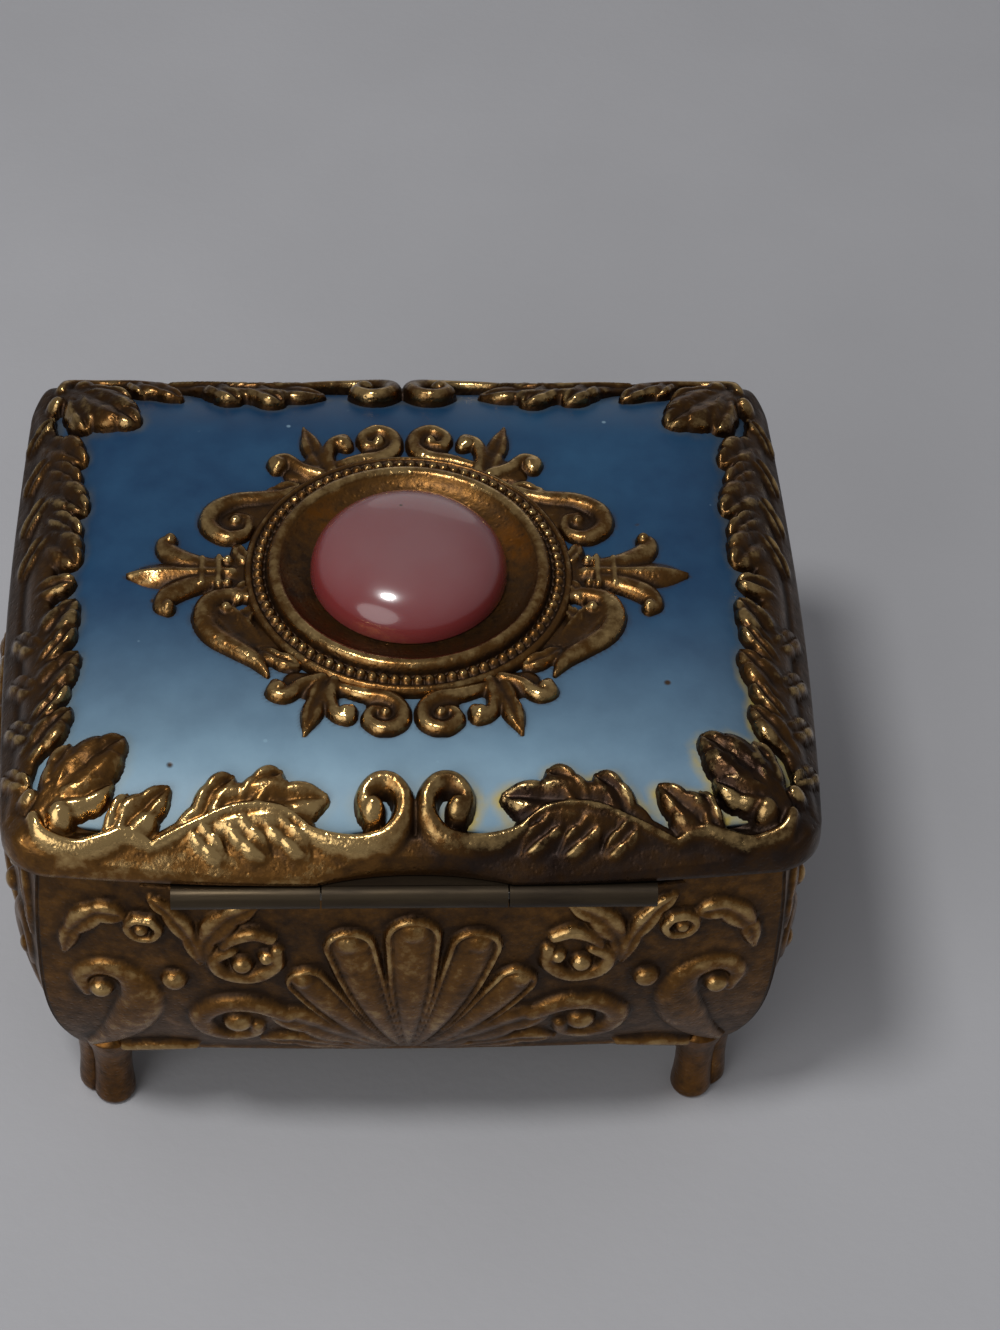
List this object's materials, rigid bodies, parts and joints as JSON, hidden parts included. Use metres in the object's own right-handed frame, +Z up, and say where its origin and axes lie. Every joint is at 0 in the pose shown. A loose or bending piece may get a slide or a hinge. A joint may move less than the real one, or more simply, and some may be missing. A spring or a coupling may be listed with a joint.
{
  "type": "trinket box",
  "caption": "Small footed casket in aged gilt cast metal with bombe leaf-scroll sides and a hinged pillow lid with blue enamel, a scrolled medallion and a domed pink stone.",
  "frame": {"origin": "on the ground under the middle of the overall box", "axes": "+Z up, the lid opens on the -Y side and is hinged on the +Y side, X along the hinge"},
  "size_m": [0.0844, 0.0706, 0.058],
  "materials": {
    "gilt_metal": "aged gilt over dark patina",
    "enamel": "worn satin enamel",
    "stone": "pearly gloss",
    "velvet": "velvet pile",
    "hinge_brass": "dull brass",
    "sheet_brass": "dull sheet brass",
    "pin_wire": "drawn wire"
  },
  "bodies": {
    "box": {"back_panel": "gilt_metal", "front_panel": "gilt_metal", "left_panel": "gilt_metal", "right_panel": "gilt_metal", "back_lining": "velvet", "front_lining": "velvet", "left_lining": "velvet", "right_lining": "velvet", "bottom_plate": "sheet_brass", "floor_pad": "velvet", "hinge_body_leaf": "hinge_brass", "hinge_pin": "pin_wire"},
    "lid": {"lid_casting": "gilt_metal", "enamel_field": "enamel", "medallion_frame": "gilt_metal", "cabochon": "stone", "lid_pad": "velvet", "hinge_lid_leaf": "hinge_brass"}
  },
  "joints": [
    {"name": "lid_hinge", "type": "hinge", "parent": "box", "child": "lid", "pos_m": [0, 0.034, 0.043], "axis": [-1, 0, 0], "range_deg": [0, 100]}
  ]
}
